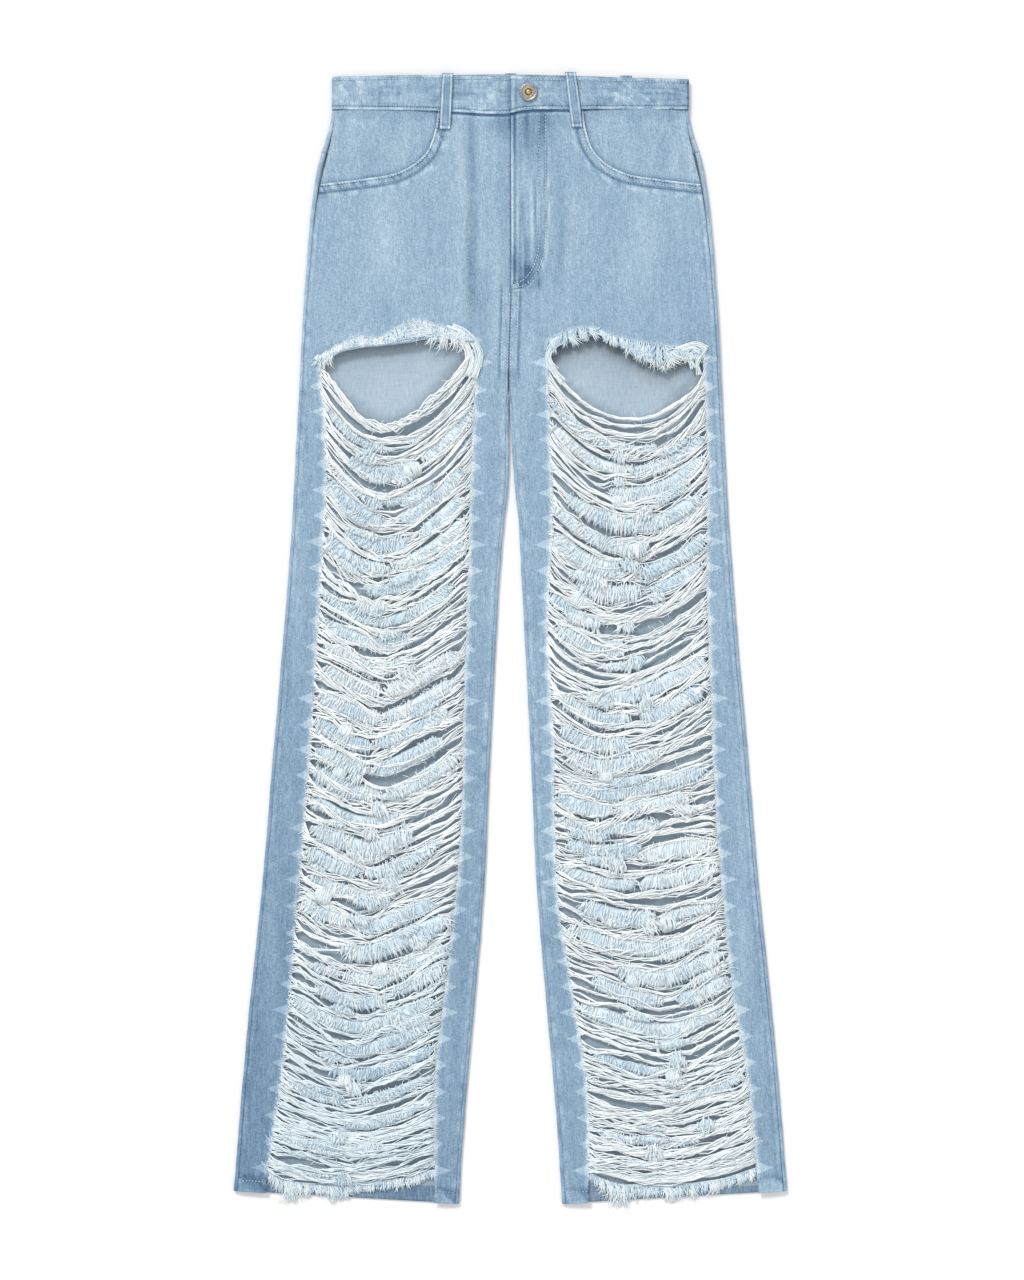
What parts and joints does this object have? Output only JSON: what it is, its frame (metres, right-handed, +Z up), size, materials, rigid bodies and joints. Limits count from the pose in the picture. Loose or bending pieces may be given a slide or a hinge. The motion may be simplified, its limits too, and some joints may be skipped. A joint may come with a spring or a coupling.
{
  "type": "ripped jeans",
  "caption": "Light-wash straight-leg blue jeans laid flat, front up, with long frayed openings of bare white yarns down both legs.",
  "frame": {"origin": "on the surface the jeans lie on, under the middle of their outline", "axes": "+Y runs from the hems to the waistband, +X is the wearer's left side, +Z is up through the front of the jeans"},
  "size_m": [0.5358, 1.1022, 0.0117],
  "materials": {
    "denim": "faded light blue twill, worn pale along seams and edges",
    "denim_back": "faded light blue twill, grey-blue on its inner face",
    "yarn": "loose undyed cotton weft yarns with pale blue frayed strips",
    "steel": "worn antique nickel",
    "brass": "plain, slightly dulled"
  },
  "bodies": {
    "root": {"front_right": "denim", "front_left": "denim", "pocket_facing_right": "denim", "pocket_facing_left": "denim", "fly_facing": "denim", "waistband": "denim", "belt_loop_front_right": "denim", "belt_loop_front_left": "denim", "belt_loop_back_right": "denim_back", "belt_loop_back_centre": "denim_back", "belt_loop_back_left": "denim_back", "back_right": "denim_back", "back_left": "denim_back", "yoke_right": "denim_back", "yoke_left": "denim_back", "back_pocket_right": "denim_back", "back_pocket_left": "denim_back", "web_upper_right": "yarn", "web_upper_left": "yarn", "web_right": "yarn", "web_left": "yarn", "rip_fringe_right": "yarn", "rip_fringe_left": "yarn", "hem_fringe_right": "yarn", "hem_fringe_left": "yarn", "button_cap": "steel", "button_rivet": "brass"}
  },
  "joints": []
}
